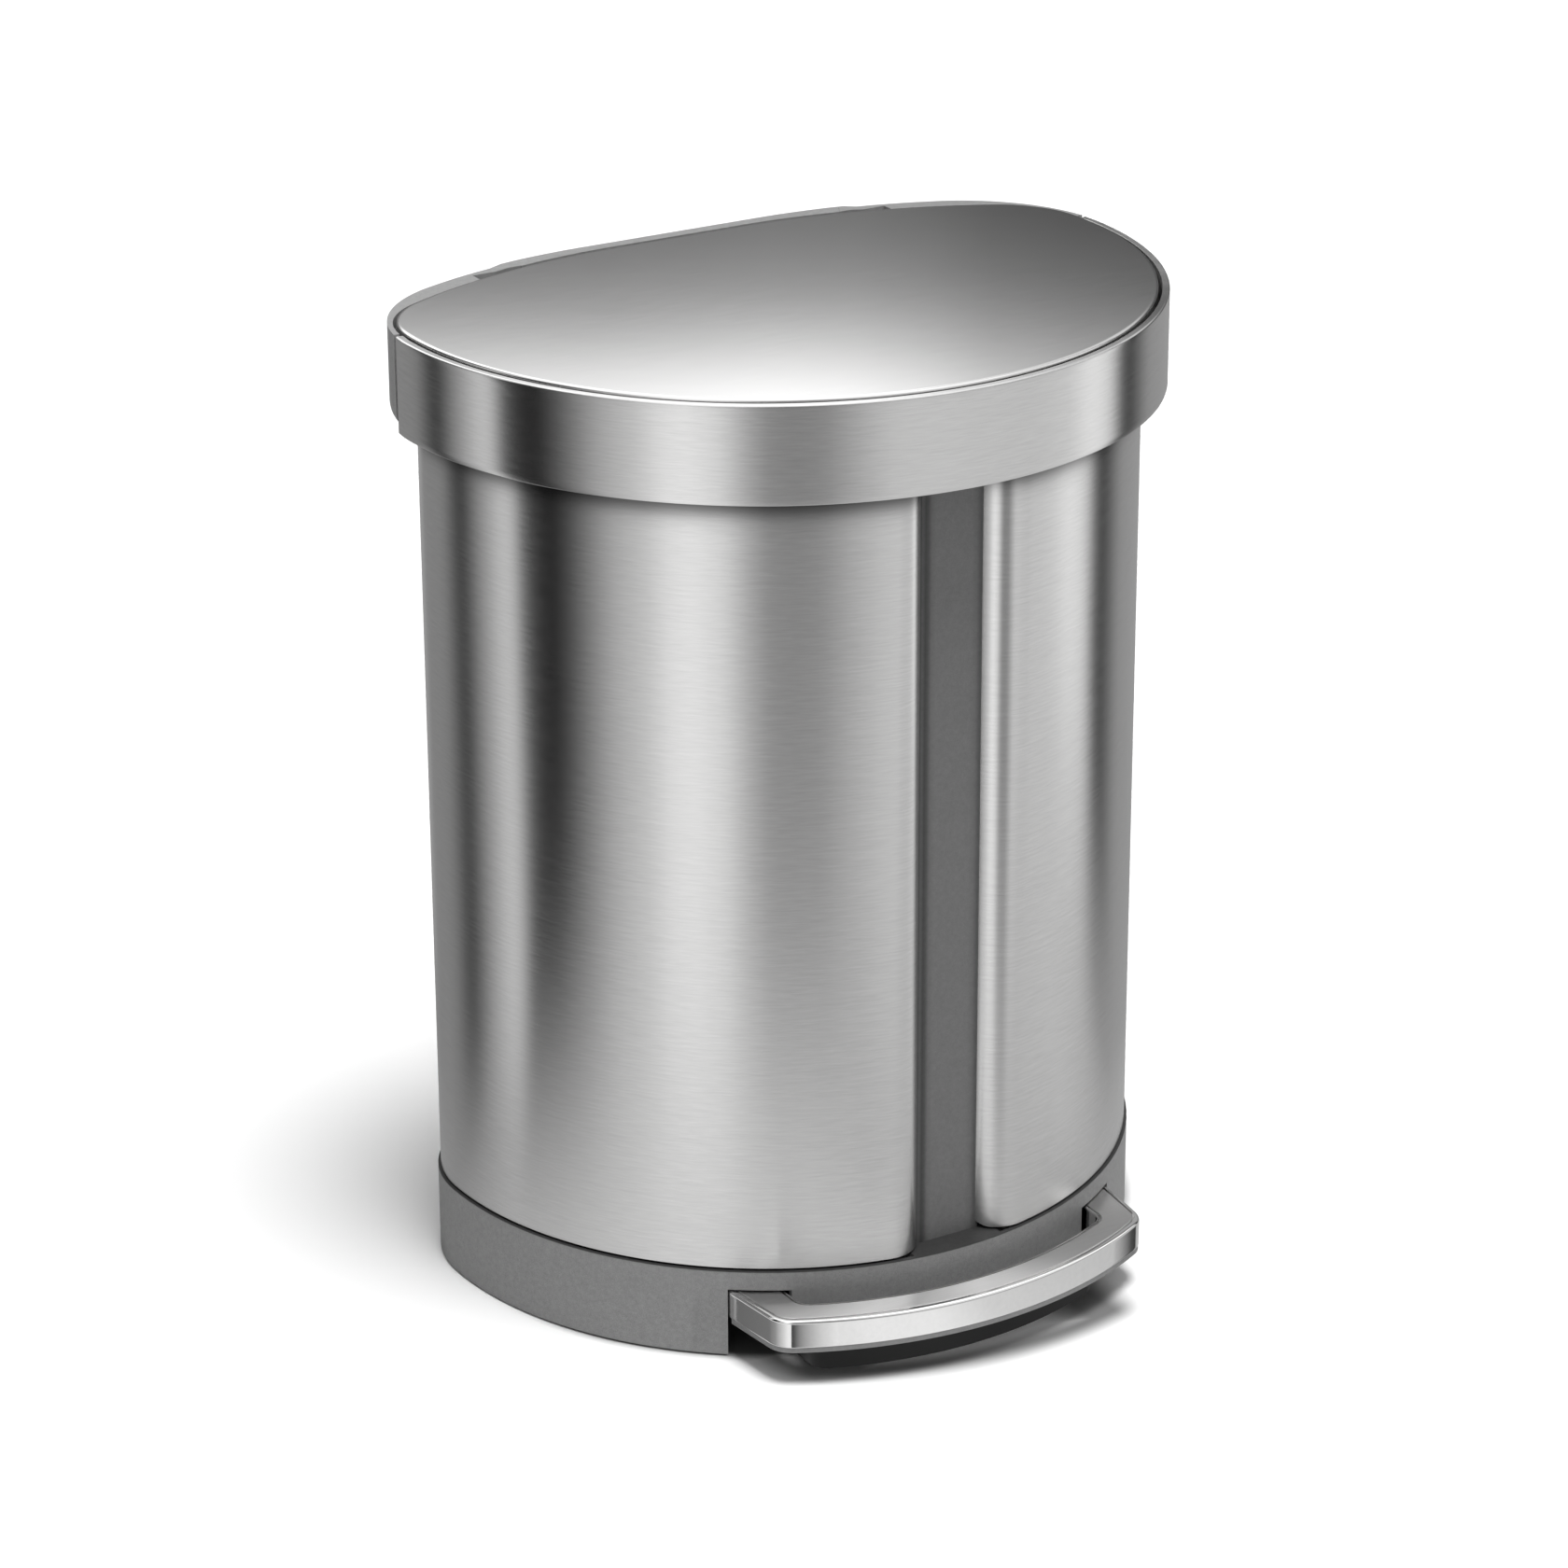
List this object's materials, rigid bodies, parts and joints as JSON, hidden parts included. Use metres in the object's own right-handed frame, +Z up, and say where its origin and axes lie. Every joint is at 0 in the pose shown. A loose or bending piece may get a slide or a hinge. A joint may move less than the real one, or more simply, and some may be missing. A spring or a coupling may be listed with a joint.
{
  "type": "pedal trash can",
  "caption": "Semi-round pedal bin: brushed steel body in halves, plastic base and rim, inner buckets, and a flush steel lid that a front pedal lifts through a lever and push rod.",
  "frame": {"origin": "on the floor, under the middle of the whole bin's length and width, pedal included", "axes": "+Z up, -Y to the front where the pedal is, +X to the right seen from the front"},
  "size_m": [0.5178, 0.408, 0.6516],
  "materials": {
    "brushed_steel": "brushed",
    "lid_steel": "fine brushed, flat",
    "pedal_steel": "brushed tread with polished edges",
    "plain_steel": "zinc plated",
    "grey_plastic": "fine grained metallic grey",
    "dark_plastic": "fine grained",
    "black_plastic": "matte",
    "bucket_plastic": "satin",
    "nylon": "satin",
    "rubber": "matte"
  },
  "bodies": {
    "can": {"base": "grey_plastic", "rubber_feet": "rubber", "front_foot": "black_plastic", "foot_screws": "plain_steel", "body_sheet_left": "brushed_steel", "body_sheet_right": "brushed_steel", "channel_strip": "dark_plastic", "back_channel": "dark_plastic", "rod_guides": "nylon", "rim_frame": "grey_plastic", "rim_band": "brushed_steel", "hinge_cover": "grey_plastic", "lid_bumpers": "rubber", "bucket_left": "bucket_plastic", "bucket_right": "bucket_plastic", "hinge_bracket_left": "dark_plastic", "hinge_bracket_right": "dark_plastic", "hinge_screws": "plain_steel", "hinge_pin": "plain_steel", "damper_body": "black_plastic", "damper_clip": "dark_plastic", "pedal_axle": "plain_steel", "axle_bracket_left": "plain_steel", "axle_bracket_right": "plain_steel", "bracket_screws": "plain_steel"},
    "lid": {"lid_skin": "lid_steel", "lid_panel": "dark_plastic", "lid_hinge": "dark_plastic", "crank_pin": "plain_steel", "lid_screws": "plain_steel"},
    "pedal": {"pedal_plate": "pedal_steel", "pedal_trim": "dark_plastic", "pedal_lever": "plain_steel", "axle_bushes": "nylon"},
    "rod": {"push_rod": "plain_steel", "rod_foot": "nylon", "rod_head": "nylon", "rod_yoke": "nylon", "damper_piston": "plain_steel"}
  },
  "joints": [
    {"name": "lid_hinge", "type": "hinge", "parent": "can", "child": "lid", "pos_m": [0, 0.1803, 0.646], "axis": [-1, 0, 0], "range_deg": [0, 80]},
    {"name": "rod_slide", "type": "slide", "parent": "can", "child": "rod", "axis": [0, 0, 1], "range_m": [0, 0.03087]},
    {"name": "pedal_hinge", "type": "hinge", "parent": "can", "child": "pedal", "pos_m": [0, -0.0594, 0.03], "axis": [1, 0, 0], "range_deg": [0, 8.1]}
  ],
  "couplings": [
    {"joint": "rod_slide", "follows": "lid_hinge", "m_per_rad": 0.022097},
    {"joint": "pedal_hinge", "follows": "lid_hinge", "ratio": 0.10121}
  ]
}
